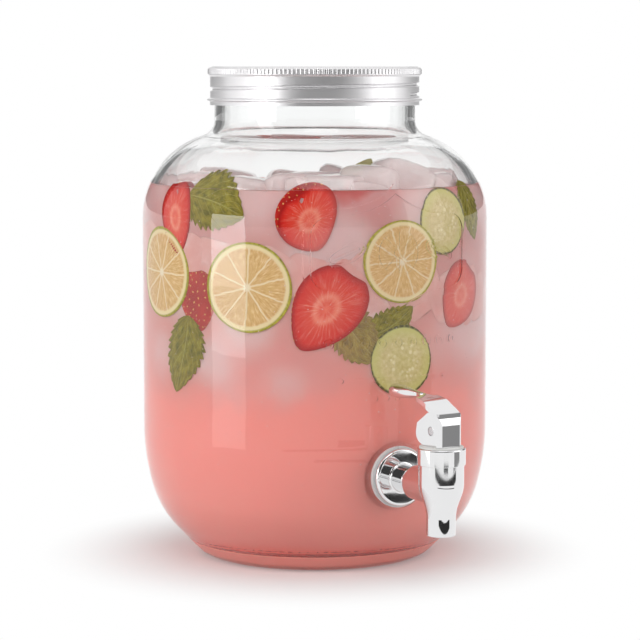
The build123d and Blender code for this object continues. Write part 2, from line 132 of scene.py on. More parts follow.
def press_to_wall(piece, across, z, roll=0.0, yaw=0.0, pitch=0.0, layer=0, haze=0.0, rise=0.0):
    """Presses a piece modelled flat, facing +Z with its top towards +Y, against the jar's wall.
    across is its angle round the jar from the camera's side, and roll, yaw and pitch turn it first.
    What faces the glass is flattened against it, and pieces in a higher layer lie behind lower ones.
    haze is how much of the cloudy drink lies before it, and rise lets seeds stand out of a berry."""
    piece.data.transform(tilt(roll, yaw, pitch))
    piece.data.update()
    top = max(vertex.co.z for vertex in piece.data.vertices)
    murk = piece.data.attributes.new("murk", "FLOAT", "POINT")
    placed = []
    for vertex in piece.data.vertices:
        below = top - vertex.co.z
        if vertex.normal.z > 0:
            inward = min(below, 0.02) * 0.005
        else:
            inward = min(0.004, 0.0004 + below * 0.6)
        height = z + vertex.co.y
        reach = wall_radius(height) + FRUIT_SINK + rise - layer * LAYER - inward
        angle = SEE_FROM + radians(across) + vertex.co.x / wall_radius(height)
        placed.append((reach * cos(angle), reach * sin(angle), height))
        murk.data[vertex.index].value = min(1, haze + max(0, below - 0.005) * 18)
    for vertex, place in zip(piece.data.vertices, placed):
        vertex.co = place
    piece.data.update()
    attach(piece, "jar")
    return piece


# ------------------------------------------------------------------ materials
def new_material(name):
    material = bpy.data.materials.new(name)
    material.use_nodes = True
    return material, material.node_tree, material.node_tree.nodes["Principled BSDF"]


def node(tree, kind, **values):
    made = tree.nodes.new(kind)
    for key, value in values.items():
        setattr(made, key, value)
    return made


def noise(tree, source, scale, detail=3.0, rough=0.5):
    made = node(tree, "ShaderNodeTexNoise")
    made.inputs["Scale"].default_value = scale
    made.inputs["Detail"].default_value = detail
    made.inputs["Roughness"].default_value = rough
    tree.links.new(source, made.inputs["Vector"])
    return made.outputs["Fac"]


def ramp(tree, source, stops):
    """A colour ramp: stops is a list of (position, colour)."""
    made = node(tree, "ShaderNodeValToRGB")
    elements = made.color_ramp.elements
    while len(elements) < len(stops):
        elements.new(0.5)
    for element, (position, colour) in zip(elements, stops):
        element.position = position
        element.color = (*colour, 1)
    tree.links.new(source, made.inputs["Fac"])
    return made.outputs["Color"]


def mix(tree, factor, a, b, kind="MIX"):
    """Mixes two colours. Each may be a socket or a plain colour."""
    made = node(tree, "ShaderNodeMix", data_type="RGBA", blend_type=kind)
    for socket, value in ((made.inputs[0], factor), (made.inputs[6], a), (made.inputs[7], b)):
        if isinstance(value, bpy.types.NodeSocket):
            tree.links.new(value, socket)
        elif isinstance(value, tuple):
            socket.default_value = (*value, 1)
        else:
            socket.default_value = value
    return made.outputs[2]


def maths(tree, kind, a, b=0.0, clamp=False):
    made = node(tree, "ShaderNodeMath", operation=kind, use_clamp=clamp)
    for socket, value in zip(made.inputs, (a, b)):
        if isinstance(value, bpy.types.NodeSocket):
            tree.links.new(value, socket)
        else:
            socket.default_value = value
    return made.outputs[0]


def span(tree, source, low, high, to_low=0.0, to_high=1.0, smooth=False):
    """Maps a value from one span to another, clamped."""
    made = node(tree, "ShaderNodeMapRange", clamp=True)
    if smooth:
        made.interpolation_type = "SMOOTHSTEP"
    for name, value in (("From Min", low), ("From Max", high), ("To Min", to_low), ("To Max", to_high)):
        made.inputs[name].default_value = value
    tree.links.new(source, made.inputs["Value"])
    return made.outputs["Result"]


def bump(tree, height, strength, distance, shader):
    made = node(tree, "ShaderNodeBump")
    made.inputs["Strength"].default_value = strength
    made.inputs["Distance"].default_value = distance
    tree.links.new(height, made.inputs["Height"])
    tree.links.new(made.outputs["Normal"], shader.inputs["Normal"])


def object_space(tree):
    return node(tree, "ShaderNodeTexCoord").outputs["Object"]


def uv_space(tree):
    return node(tree, "ShaderNodeTexCoord").outputs["UV"]


def let_lamps_through(tree, shader, tint):
    """Shadow rays pass a clear material, so that what lies behind it is lit."""
    clear = node(tree, "ShaderNodeBsdfTransparent")
    clear.inputs["Color"].default_value = (*tint, 1)
    both = node(tree, "ShaderNodeMixShader")
    path = node(tree, "ShaderNodeLightPath")
    tree.links.new(path.outputs["Is Shadow Ray"], both.inputs[0])
    tree.links.new(shader.outputs[0], both.inputs[1])
    tree.links.new(clear.outputs[0], both.inputs[2])
    tree.links.new(both.outputs[0], tree.nodes["Material Output"].inputs["Surface"])


def through_haze(tree, colour):
    """The colour as it shows through the cloudy drink before it: the piece's murk says how much."""
    depth = node(tree, "ShaderNodeAttribute", attribute_name="murk").outputs["Fac"]
    cloud = span(tree, noise(tree, object_space(tree), 70, 2), 0.3, 0.7, 0.75, 1.25)
    return mix(tree, maths(tree, "MULTIPLY", depth, cloud, clamp=True), colour, (0.76, 0.36, 0.32))


def smudge_group():
    """Node group: slow unevenness of a handled or moulded surface, as a roughness and a height."""
    group = bpy.data.node_groups.new("surface_unevenness", "ShaderNodeTree")
    face = group.interface
    face.new_socket("Vector", in_out="INPUT", socket_type="NodeSocketVector")
    for name, value in (("Scale", 30.0), ("Low", 0.02), ("High", 0.08)):
        face.new_socket(name, in_out="INPUT", socket_type="NodeSocketFloat").default_value = value
    face.new_socket("Roughness", in_out="OUTPUT", socket_type="NodeSocketFloat")
    face.new_socket("Height", in_out="OUTPUT", socket_type="NodeSocketFloat")
    given = group.nodes.new("NodeGroupInput")
    result = group.nodes.new("NodeGroupOutput")
    cloud = group.nodes.new("ShaderNodeTexNoise")
    cloud.inputs["Detail"].default_value = 4
    spread = group.nodes.new("ShaderNodeMapRange")
    spread.inputs["From Min"].default_value = 0.3
    spread.inputs["From Max"].default_value = 0.7
    links = group.links
    links.new(given.outputs["Vector"], cloud.inputs["Vector"])
    links.new(given.outputs["Scale"], cloud.inputs["Scale"])
    links.new(cloud.outputs["Fac"], spread.inputs["Value"])
    links.new(given.outputs["Low"], spread.inputs["To Min"])
    links.new(given.outputs["High"], spread.inputs["To Max"])
    links.new(spread.outputs["Result"], result.inputs["Roughness"])
    links.new(cloud.outputs["Fac"], result.inputs["Height"])
    return group


UNEVEN = smudge_group()


def uneven(tree, source, scale, low, high):
    """Places the unevenness group. Gives its roughness and height."""
    made = node(tree, "ShaderNodeGroup", node_tree=UNEVEN)
    made.inputs["Scale"].default_value = scale
    made.inputs["Low"].default_value = low
    made.inputs["High"].default_value = high
    tree.links.new(source, made.inputs["Vector"])
    return made.outputs["Roughness"], made.outputs["Height"]


def jar_glass():
    material, tree, shader = new_material("jar_glass")
    shader.inputs["Base Color"].default_value = (0.985, 0.992, 0.99, 1)
    shader.inputs["Transmission Weight"].default_value = 1
    shader.inputs["IOR"].default_value = 1.5
    place = object_space(tree)
    rough, _ = uneven(tree, place, 22, 0.0, 0.012)
    tree.links.new(rough, shader.inputs["Roughness"])
    # Moulded glass is gently wavy
    bump(tree, noise(tree, place, 34, 1), 0.12, 0.002, shader)
    # The edges of the relief are soft, as pressed glass is
    soft = node(tree, "ShaderNodeBevel", samples=4)
    soft.inputs["Radius"].default_value = 0.00045
    tree.links.new(soft.outputs["Normal"], tree.nodes["Bump"].inputs["Normal"])
    let_lamps_through(tree, shader, (0.97, 0.98, 0.98))
    return material


def satin_lid():
    material, tree, shader = new_material("satin_lid")
    shader.inputs["Metallic"].default_value = 1
    place = object_space(tree)
    # Fine rings left by spinning, broken up by a faint grain
    squashed = node(tree, "ShaderNodeMapping")
    squashed.inputs["Scale"].default_value = (60, 60, 4200)
    tree.links.new(place, squashed.inputs["Vector"])
    rings = noise(tree, squashed.outputs[0], 1, 2)
    rough, _ = uneven(tree, place, 40, 0.3, 0.38)
    tree.links.new(rough, shader.inputs["Roughness"])
    colour = mix(tree, rings, (0.78, 0.77, 0.78), (0.86, 0.85, 0.86))
    tree.links.new(colour, shader.inputs["Base Color"])
    bump(tree, rings, 0.08, 0.0002, shader)
    return material


def chrome():
    material, tree, shader = new_material("polished_chrome")
    shader.inputs["Metallic"].default_value = 1
    place = object_space(tree)
    rough, height = uneven(tree, place, 60, 0.02, 0.06)
    tree.links.new(rough, shader.inputs["Roughness"])
    colour = mix(tree, height, (0.78, 0.78, 0.79), (0.84, 0.84, 0.84))
    tree.links.new(colour, shader.inputs["Base Color"])
    bump(tree, noise(tree, place, 90, 1), 0.03, 0.0006, shader)
    return material


def stainless():
    material, tree, shader = new_material("turned_stainless")
    shader.inputs["Metallic"].default_value = 1
    place = object_space(tree)
    rough, height = uneven(tree, place, 300, 0.2, 0.4)
    tree.links.new(rough, shader.inputs["Roughness"])
    tree.links.new(mix(tree, height, (0.56, 0.56, 0.57), (0.7, 0.7, 0.71)), shader.inputs["Base Color"])
    bump(tree, noise(tree, place, 1500, 2), 0.1, 0.0001, shader)
    return material


def silicone():
    material, tree, shader = new_material("clear_silicone")
    shader.inputs["Transmission Weight"].default_value = 0.25
    shader.inputs["IOR"].default_value = 1.41
    place = object_space(tree)
    rough, height = uneven(tree, place, 150, 0.25, 0.4)
    tree.links.new(rough, shader.inputs["Roughness"])
    tree.links.new(mix(tree, height, (0.9, 0.88, 0.87), (0.96, 0.95, 0.94)), shader.inputs["Base Color"])
    return material


def white_plastic(name, low, high):
    material, tree, shader = new_material(name)
    place = object_space(tree)
    rough, height = uneven(tree, place, 200, 0.35, 0.5)
    tree.links.new(rough, shader.inputs["Roughness"])
    tree.links.new(mix(tree, height, low, high), shader.inputs["Base Color"])
    bump(tree, noise(tree, place, 900, 2), 0.08, 0.0002, shader)
    return material


def drink_material():
    """Cloudy pink lemonade: salmon below, its colour painted brighter towards the bottom to make up for the
    dimmer light there, paler and mottled by the ice above.
    """
    material, tree, shader = new_material("pink_lemonade")
    place = object_space(tree)
    split = node(tree, "ShaderNodeSeparateXYZ")
    tree.links.new(place, split.inputs[0])
    height = split.outputs["Z"]
    cloud = noise(tree, place, 26, 3, 0.55)
    swirl = maths(tree, "MULTIPLY_ADD", cloud, 0.05)
    tree.nodes[-1].inputs[2].default_value = -0.025
    lifted = maths(tree, "ADD", height, swirl)
    # Painted light: the colours grow brighter towards the bottom, standing in for light that reaches the
    # low part of the drink only dimly.
    body = ramp(
        tree,
        span(tree, lifted, 0.0, 0.2),
        [
            (0.0, (0.96, 0.37, 0.32)),
            (0.16, (0.96, 0.36, 0.31)),
            (0.28, (0.93, 0.34, 0.295)),
            (0.42, (0.9, 0.33, 0.285)),
            (0.52, (0.76, 0.33, 0.3)),
            (0.75, (0.68, 0.33, 0.31)),
            (0.93, (0.64, 0.31, 0.3)),
            (0.955, (0.58, 0.14, 0.13)),
        ],
    )
    lumps = node(tree, "ShaderNodeTexVoronoi", feature="SMOOTH_F1")
    lumps.inputs["Scale"].default_value = 34
    lumps.inputs["Smoothness"].default_value = 0.6
    tree.links.new(place, lumps.inputs["Vector"])
    icy = span(tree, lumps.outputs["Distance"], 0.25, 0.7, 0.75, 0.0, smooth=True)
    upper = span(tree, lifted, 0.085, 0.115, smooth=True)
    colour = mix(tree, maths(tree, "MULTIPLY", icy, upper), body, (0.76, 0.56, 0.55))
    tree.links.new(colour, shader.inputs["Base Color"])
    shader.inputs["Roughness"].default_value = 0.3
    shader.inputs["Specular IOR Level"].default_value = 0.1
    shader.inputs["Subsurface Weight"].default_value = 0.35
    shader.inputs["Subsurface Radius"].default_value = (1.0, 0.35, 0.3)
    shader.inputs["Subsurface Scale"].default_value = 0.012
    return material


def ice_material():
    material, tree, shader = new_material("wet_ice")
    shader.inputs["Transmission Weight"].default_value = 0.55
    shader.inputs["IOR"].default_value = 1.31
    shader.inputs["Coat Weight"].default_value = 0.6
    shader.inputs["Coat Roughness"].default_value = 0.03
    place = object_space(tree)
    rough, _ = uneven(tree, place, 120, 0.02, 0.2)
    tree.links.new(rough, shader.inputs["Roughness"])
    # Pinkish and milky white in a fine random pattern
    veins = noise(tree, place, 260, 4, 0.6)
    tree.links.new(mix(tree, veins, (0.92, 0.74, 0.72), (1.0, 0.96, 0.96)), shader.inputs["Base Color"])
    bump(tree, noise(tree, place, 190, 3), 0.5, 0.0014, shader)
    let_lamps_through(tree, shader, (0.9, 0.75, 0.74))
    return material


def sunken_ice_material():
    """Ice under the surface: a paler, softer lump in the cloudy drink."""
    material, tree, shader = new_material("sunken_ice")
    place = object_space(tree)
    cloud = noise(tree, place, 95, 4, 0.6)
    tones = [(0.3, (0.72, 0.38, 0.36)), (0.55, (0.8, 0.53, 0.51)), (0.75, (0.93, 0.8, 0.79))]
    pale = ramp(tree, cloud, tones)
    tree.links.new(through_haze(tree, pale), shader.inputs["Base Color"])
    shader.inputs["Roughness"].default_value = 0.4
    shader.inputs["Specular IOR Level"].default_value = 0.1
    shader.inputs["Subsurface Weight"].default_value = 0.3
    shader.inputs["Subsurface Radius"].default_value = (1.0, 0.6, 0.6)
    shader.inputs["Subsurface Scale"].default_value = 0.006
    bump(tree, cloud, 0.5, 0.0012, shader)
    return material


def citrus_material():
    """Cut face of a lime: segments, pale pith and green peel, round the centre of the piece's UV map."""
    material, tree, shader = new_material("cut_lime")
    centred = node(tree, "ShaderNodeMapping")
    centred.inputs["Location"].default_value = (-0.5, -0.5, 0)
    tree.links.new(uv_space(tree), centred.inputs["Vector"])
    split = node(tree, "ShaderNodeSeparateXYZ")
    tree.links.new(centred.outputs[0], split.inputs[0])
    length = node(tree, "ShaderNodeVectorMath", operation="LENGTH")
    tree.links.new(centred.outputs[0], length.inputs[0])
    radius = maths(tree, "MULTIPLY", length.outputs["Value"], 2)
    ragged = maths(tree, "MULTIPLY_ADD", noise(tree, centred.outputs[0], 9, 2), 0.9)
    tree.nodes[-1].inputs[2].default_value = -0.45
    angle = maths(tree, "ARCTAN2", split.outputs["Y"], split.outputs["X"])
    count = 10
    wheel = maths(tree, "MULTIPLY_ADD", angle, count / (2 * pi))
    tree.nodes[-1].inputs[2].default_value = 50
    wheel = maths(tree, "ADD", wheel, maths(tree, "MULTIPLY", ragged, 0.25))
    saw = maths(tree, "FRACT", wheel)
    off_spoke = maths(tree, "MULTIPLY", maths(tree, "PINGPONG", saw, 0.5), radius)
    membrane = span(tree, off_spoke, 0.012, 0.045, 1.0, 0.0, smooth=True)
    # Juice sacs run outwards from the core
    fibres = node(tree, "ShaderNodeCombineXYZ")
    tree.links.new(maths(tree, "MULTIPLY", angle, 13), fibres.inputs["X"])
    tree.links.new(maths(tree, "MULTIPLY", radius, 4), fibres.inputs["Y"])
    sacs = noise(tree, fibres.outputs[0], 1.6, 3, 0.6)
    juice = [(0.25, (0.56, 0.31, 0.09)), (0.5, (0.7, 0.46, 0.18)), (0.75, (0.88, 0.7, 0.4))]
    flesh = ramp(tree, sacs, juice)
    flesh = mix(tree, membrane, flesh, (0.84, 0.7, 0.46))
    core = span(tree, radius, 0.05, 0.11, 1.0, 0.0)
    flesh = mix(tree, core, flesh, (0.88, 0.78, 0.58))
    pith = span(tree, maths(tree, "ADD", radius, maths(tree, "MULTIPLY", ragged, 0.04)), 0.83, 0.88)
    face = mix(tree, pith, flesh, (0.83, 0.72, 0.42))
    peel = span(tree, radius, 0.93, 0.965)
    mottle = noise(tree, centred.outputs[0], 28, 2)
    skin = ramp(tree, mottle, [(0.3, (0.25, 0.24, 0.01)), (0.7, (0.5, 0.46, 0.03))])
    face = mix(tree, peel, face, skin)
    tree.links.new(through_haze(tree, face), shader.inputs["Base Color"])
    shader.inputs["Roughness"].default_value = 0.35
    shader.inputs["Specular IOR Level"].default_value = 0.08
    shader.inputs["Subsurface Weight"].default_value = 0.2
    shader.inputs["Subsurface Radius"].default_value = (1.0, 0.8, 0.3)
    shader.inputs["Subsurface Scale"].default_value = 0.003
    bump(tree, sacs, 0.3, 0.0006, shader)
    return material


def cucumber_material():
    """Cut face of a cucumber: pale flesh, a darker ring of seeds and dark striped skin."""
    material, tree, shader = new_material("cut_cucumber")
    centred = node(tree, "ShaderNodeMapping")
    centred.inputs["Location"].default_value = (-0.5, -0.5, 0)
    tree.links.new(uv_space(tree), centred.inputs["Vector"])
    split = node(tree, "ShaderNodeSeparateXYZ")
    tree.links.new(centred.outputs[0], split.inputs[0])
    length = node(tree, "ShaderNodeVectorMath", operation="LENGTH")
    tree.links.new(centred.outputs[0], length.inputs[0])
    radius = maths(tree, "MULTIPLY", length.outputs["Value"], 2)
    angle = maths(tree, "ARCTAN2", split.outputs["Y"], split.outputs["X"])
    grain = noise(tree, centred.outputs[0], 14, 4, 0.6)
    flesh = ramp(tree, grain, [(0.3, (0.55, 0.47, 0.17)), (0.7, (0.76, 0.68, 0.36))])
    # Seeds: small drops in three lobes round the core
    seeds = node(tree, "ShaderNodeTexVoronoi")
    seeds.inputs["Scale"].default_value = 13
    tree.links.new(centred.outputs[0], seeds.inputs["Vector"])
    lobes = maths(tree, "ABSOLUTE", maths(tree, "SINE", maths(tree, "MULTIPLY", angle, 1.5)))
    belt = maths(tree, "MULTIPLY", span(tree, radius, 0.18, 0.3), span(tree, radius, 0.5, 0.62, 1.0, 0.0))
    spots = maths(tree, "MULTIPLY", span(tree, seeds.outputs["Distance"], 0.25, 0.4, 1.0, 0.0), belt)
    spots = maths(tree, "MULTIPLY", spots, maths(tree, "MULTIPLY_ADD", lobes, 0.7))
    tree.nodes[-2].inputs[2].default_value = 0.3
    face = mix(tree, spots, flesh, (0.84, 0.78, 0.5))
    rim = span(tree, radius, 0.6, 0.95)
    face = mix(tree, rim, face, (0.6, 0.6, 0.2))
    stripes = maths(tree, "SINE", maths(tree, "MULTIPLY", angle, 34))
    skin = ramp(tree, stripes, [(0.3, (0.05, 0.075, 0.01)), (0.9, (0.2, 0.2, 0.04))])
    face = mix(tree, span(tree, radius, 0.93, 0.97), face, skin)
    tree.links.new(through_haze(tree, face), shader.inputs["Base Color"])
    shader.inputs["Roughness"].default_value = 0.32
    shader.inputs["Specular IOR Level"].default_value = 0.08
    shader.inputs["Subsurface Weight"].default_value = 0.2
    shader.inputs["Subsurface Radius"].default_value = (0.8, 1.0, 0.4)
    shader.inputs["Subsurface Scale"].default_value = 0.003
    bump(tree, grain, 0.2, 0.0004, shader)
    return material


def strawberry_face_material():
    """Cut strawberry on its UV map: a pale heart, rays out to the skin and a deep red rim."""
    material, tree, shader = new_material("cut_strawberry")
    centred = node(tree, "ShaderNodeMapping")
    centred.inputs["Location"].default_value = (-0.5, -0.5, 0)
    tree.links.new(uv_space(tree), centred.inputs["Vector"])
    split = node(tree, "ShaderNodeSeparateXYZ")
    tree.links.new(centred.outputs[0], split.inputs[0])
    length = node(tree, "ShaderNodeVectorMath", operation="LENGTH")
    tree.links.new(centred.outputs[0], length.inputs[0])
    radius = maths(tree, "MULTIPLY", length.outputs["Value"], 2)
    angle = maths(tree, "ARCTAN2", split.outputs["Y"], split.outputs["X"])
    fibres = node(tree, "ShaderNodeCombineXYZ")
    tree.links.new(maths(tree, "MULTIPLY", angle, 7), fibres.inputs["X"])
    tree.links.new(maths(tree, "MULTIPLY", radius, 1.2), fibres.inputs["Y"])
    rays = noise(tree, fibres.outputs[0], 1.7, 3, 0.6)
    body = ramp(
        tree,
        radius,
        [
            (0.0, (0.85, 0.2, 0.12)),
            (0.14, (0.8, 0.1, 0.055)),
            (0.3, (0.86, 0.27, 0.18)),
            (0.42, (0.76, 0.075, 0.04)),
            (0.82, (0.68, 0.03, 0.018)),
            (0.93, (0.5, 0.012, 0.009)),
            (1.0, (0.34, 0.008, 0.006)),
        ],
    )
    streaks = maths(tree, "MULTIPLY", span(tree, rays, 0.5, 0.72), span(tree, radius, 0.95, 0.4))
    body = mix(tree, maths(tree, "MULTIPLY", streaks, 0.75), body, (0.9, 0.46, 0.36))
    tree.links.new(through_haze(tree, body), shader.inputs["Base Color"])
    shader.inputs["Roughness"].default_value = 0.3
    shader.inputs["Specular IOR Level"].default_value = 0.08
    shader.inputs["Subsurface Weight"].default_value = 0.25
    shader.inputs["Subsurface Radius"].default_value = (1.0, 0.2, 0.1)
    shader.inputs["Subsurface Scale"].default_value = 0.003
    bump(tree, rays, 0.3, 0.0006, shader)
    return material


def strawberry_skin_material():
    material, tree, shader = new_material("strawberry_skin")
    place = object_space(tree)
    blush = noise(tree, place, 60, 3)
    red = ramp(tree, blush, [(0.3, (0.3, 0.006, 0.006)), (0.7, (0.6, 0.03, 0.02))])
    tree.links.new(through_haze(tree, red), shader.inputs["Base Color"])
    shader.inputs["Roughness"].default_value = 0.22
    shader.inputs["Specular IOR Level"].default_value = 0.08
    shader.inputs["Subsurface Weight"].default_value = 0.15
    shader.inputs["Subsurface Radius"].default_value = (1.0, 0.15, 0.1)
    shader.inputs["Subsurface Scale"].default_value = 0.002
    bump(tree, noise(tree, place, 420, 2), 0.35, 0.0006, shader)
    return material


def seed_material():
    material, tree, shader = new_material("strawberry_seeds")
    place = object_space(tree)
    straw = ramp(tree, noise(tree, place, 300), [(0.3, (0.5, 0.2, 0.04)), (0.7, (0.8, 0.5, 0.15))])
    tree.links.new(straw, shader.inputs["Base Color"])
    shader.inputs["Roughness"].default_value = 0.4
    return material


def mint_material():
    """Mint leaf on its UV map: u runs across and v along the leaf, with a midrib and slanting veins."""
    material, tree, shader = new_material("mint_leaf")
    place = uv_space(tree)
    split = node(tree, "ShaderNodeSeparateXYZ")
    tree.links.new(place, split.inputs[0])
    across = maths(tree, "ABSOLUTE", maths(tree, "SUBTRACT", split.outputs["X"], 0.5))
    rib = span(tree, across, 0.0, 0.025, 1.0, 0.0, smooth=True)
    along = maths(tree, "MULTIPLY", split.outputs["Y"], 7)
    slant = maths(tree, "SUBTRACT", along, maths(tree, "MULTIPLY", across, 7))
    veins = span(tree, maths(tree, "PINGPONG", slant, 0.5), 0.0, 0.1, 0.8, 0.0, smooth=True)
    lines = maths(tree, "MAXIMUM", rib, veins)
    mottle = noise(tree, place, 8, 4, 0.6)
    greens = [(0.3, (0.11, 0.1, 0.006)), (0.5, (0.24, 0.2, 0.018)), (0.75, (0.42, 0.36, 0.05))]
    green = ramp(tree, mottle, greens)
    blade = mix(tree, maths(tree, "MULTIPLY", lines, 0.6), green, (0.5, 0.46, 0.14))
    tree.links.new(through_haze(tree, blade), shader.inputs["Base Color"])
    shader.inputs["Roughness"].default_value = 0.38
    shader.inputs["Specular IOR Level"].default_value = 0.08
    shader.inputs["Subsurface Weight"].default_value = 0.15
    shader.inputs["Subsurface Radius"].default_value = (0.4, 1.0, 0.2)
    shader.inputs["Subsurface Scale"].default_value = 0.001
    bump(tree, maths(tree, "SUBTRACT", mottle, lines), 0.5, 0.0006, shader)
    return material


def bubble_material():
    material, tree, shader = new_material("air_bubbles")
    place = object_space(tree)
    film = ramp(tree, noise(tree, place, 80), [(0.3, (0.85, 0.62, 0.6)), (0.7, (0.98, 0.9, 0.88))])
    tree.links.new(film, shader.inputs["Base Color"])
    shader.inputs["Roughness"].default_value = 0.12
    shader.inputs["Coat Weight"].default_value = 1
    return material


GLASS = jar_glass()
LID = satin_lid()
CHROME = chrome()
STEEL = stainless()
SILICONE = silicone()
NYLON = white_plastic("white_nylon", (0.78, 0.78, 0.75), (0.88, 0.88, 0.86))
LINER = white_plastic("liner_foam", (0.74, 0.74, 0.72), (0.86, 0.86, 0.84))
DRINK = drink_material()
ICE = ice_material()
SUNKEN = sunken_ice_material()
LIME = citrus_material()
CUCUMBER = cucumber_material()
BERRY_FACE = strawberry_face_material()
BERRY_SKIN = strawberry_skin_material()
SEEDS = seed_material()
MINT = mint_material()
BUBBLES = bubble_material()


def give(piece, *materials):
    piece.data.materials.clear()
    for material in materials:
        piece.data.materials.append(material)


FINISH = {
    "glass_jar": GLASS,
    "lid_shell": LID,
    "lid_gasket": LINER,
    "spigot_body": CHROME,
    "bonnet_ring": CHROME,
    "lever": CHROME,
    "lever_pin": STEEL,
    "valve_stem": STEEL,
    "return_spring": STEEL,
    "backing_washer": STEEL,
    "lock_nut": STEEL,
    "cam_washer": NYLON,
    "guide_bushing": NYLON,
    "seat_cup": SILICONE,
    "outer_washer": SILICONE,
    "inner_washer": SILICONE,
}
for name, material in FINISH.items():
    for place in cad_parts[name].material_slots:
        place.material = material


# ------------------------------------------------------------------ lid
def knurl():
    """Knurled ring round the lid's top corner, one tooth every 2.2 mm."""
    teeth = 160
    crest = 0.0552
    groove = 0.0006
    top = lid_high.z - 0.0002
    outline = [
        (crest - 0.0016, top - 0.0042),
        (crest, top - 0.0036),
        (crest, top - 0.0012),
        (crest - 0.0008, top - 0.0003),
        (crest - 0.0024, top),
        (crest - 0.0026, top - 0.0008),
    ]
    ring = turned("lid_knurl", outline + outline[:1], steps=teeth * 5)
    for vertex in ring.data.vertices:
        flat = Vector((vertex.co.x, vertex.co.y))
        if flat.length > crest - 0.0012:
            wave = cos(atan2(flat.y, flat.x) * teeth)
            flat *= 1 - groove * (1 - wave) / 2 / flat.length
            vertex.co.x, vertex.co.y = flat
    give(ring, LID)
    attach(ring, "lid")
    return ring


# ------------------------------------------------------------------ drink
def drink():
    """The lemonade, wetting the inside of the glass, with its curved edge at the top."""
    edge = wall_radius(DRINK_TOP)
    low = FLOOR_INSIDE
    outline = [(0, low - DRINK_SINK), (wall_radius(low) * 0.5, low - DRINK_SINK)]
    heights = [low + (0.07 - low) * (i / 26) ** 1.6 for i in range(27)]
    heights += [0.09, 0.12, 0.15] + [0.172 + i * 0.0025 for i in range(9)]
    outline += [(wall_radius(z) + DRINK_SINK, z) for z in heights]
    outline += [(edge + DRINK_SINK, DRINK_TOP + 0.0016), (edge - 0.0012, DRINK_TOP + 0.0006)]
    outline += [(edge - 0.004, DRINK_TOP)]
    outline += [(r, DRINK_TOP) for r in (0.07, 0.06, 0.05, 0.04, 0.03, 0.02, 0.01, 0)]
    piece = turned("drink", outline, steps=192)
    for vertex in piece.data.vertices:
        reach = Vector((vertex.co.x, vertex.co.y)).length
        if vertex.co.z > DRINK_TOP - 0.0001 and reach < edge - 0.002:
            ripple = sin(vertex.co.x * 160) * cos(vertex.co.y * 140 + 1) * 0.0007
            vertex.co.z += ripple * (1 - (reach / edge) ** 4)
    give(piece, DRINK)
    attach(piece, "jar")
    return piece


def ice_lump(name, size, seed):
    """A half-melted ice cube: a bevelled cube with pulled corners and soft hollows."""
    shake = Random(seed)
    deselect()
    bpy.ops.mesh.primitive_cube_add(size=1, location=(0, 0, 0))
    lump = bpy.context.object
    edit(lump)
    bpy.ops.mesh.bevel(offset=0.24, segments=3, affect="EDGES")
    bpy.ops.mesh.select_all(action="SELECT")
    bpy.ops.mesh.subdivide(number_cuts=2, smoothness=0.3)
    bpy.ops.object.mode_set(mode="OBJECT")
    pulls = []
    for _ in range(9):
        centre = Vector([shake.uniform(-0.6, 0.6) for _ in range(3)])
        pulls.append((centre, shake.uniform(-0.34, 0.26)))
    for vertex in lump.data.vertices:
        for centre, amount in pulls:
            near = max(0, 1 - (vertex.co - centre).length / 0.6)
            vertex.co *= 1 + amount * near**2
    lump.data.transform(Matrix.Diagonal((*size, 1)))
    bpy.ops.object.mode_set(mode="EDIT")
    close(lump, name)
    return lump


def surface_ice():
    """Ice that breaks the surface. Each entry: angle from the camera's side, distance from the axis, height
    above the drink, width and height in millimetres, turn."""
    places = [
        (-42, 64, 1, 30, 14, 20),
        (-28, 68, 2, 26, 15, 50),
        (-14, 58, 2, 34, 18, 10),
        (-3, 70, 1, 30, 14, 75),
        (9, 62, 3, 34, 17, 30),
        (20, 72, 0, 28, 15, 65),
        (33, 56, 4, 36, 22, 40),
        (44, 60, 5, 34, 22, 80),
        (58, 66, 3, 28, 16, 15),
        (-60, 66, 0, 26, 12, 35),
        (0, 20, 2, 40, 20, 22),
        (70, 20, 3, 38, 20, 60),
        (150, 55, 3, 36, 20, 30),
        (190, 62, 2, 34, 18, 70),
        (110, 62, 3, 34, 20, 15),
        (230, 60, 3, 36, 20, 55),
        (265, 62, 2, 32, 18, 25),
    ]
    for index, (across, reach, rise, width, tall, turn) in enumerate(places):
        lump = ice_lump(f"ice_{index + 1}", (width / 1000, width / 1150, tall / 1000), 40 + index)
        angle = SEE_FROM + radians(across)
        place = Vector((cos(angle) * reach, sin(angle) * reach, 0)) / 1000
        place.z = DRINK_TOP + (rise - 2.5) / 1000
        lump.data.transform(
            Matrix.Translation(place)
            @ Matrix.Rotation(radians(turn), 4, "Z")
            @ Matrix.Rotation(radians(turn / 3 - 10), 4, "X")
        )
        keep_inside(lump)
        give(lump, ICE)
        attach(lump, "jar")


def sunken_ice():
    """Cubes under the surface, showing faintly against the wall between the fruit."""
    shake = Random(12)
    for index in range(34):
        across = index * 137.5 % 360 - 180
        height = 0.116 + 0.066 * ((index * 0.618) % 1)
        size = shake.uniform(0.02, 0.031)
        lengths = (size, size * shake.uniform(0.75, 1), size * 0.5)
        lump = ice_lump(f"sunken_ice_{index + 1}", lengths, 200 + index)
        give(lump, SUNKEN)
        press_to_wall(
            lump,
            across,
            height,
            roll=shake.uniform(0, 90),
            yaw=shake.uniform(-25, 25),
            pitch=shake.uniform(-25, 25),
            layer=3.6,
            haze=shake.uniform(0.3, 0.7),
        )


def keep_inside(piece, gap=0.0003):
    """Presses back whatever would stick into the glass."""
    for vertex in piece.data.vertices:
        flat = Vector((vertex.co.x, vertex.co.y))
        limit = wall_radius(vertex.co.z) - gap
        if flat.length > limit:
            flat *= limit / flat.length
            vertex.co.x, vertex.co.y = flat
    piece.data.update()


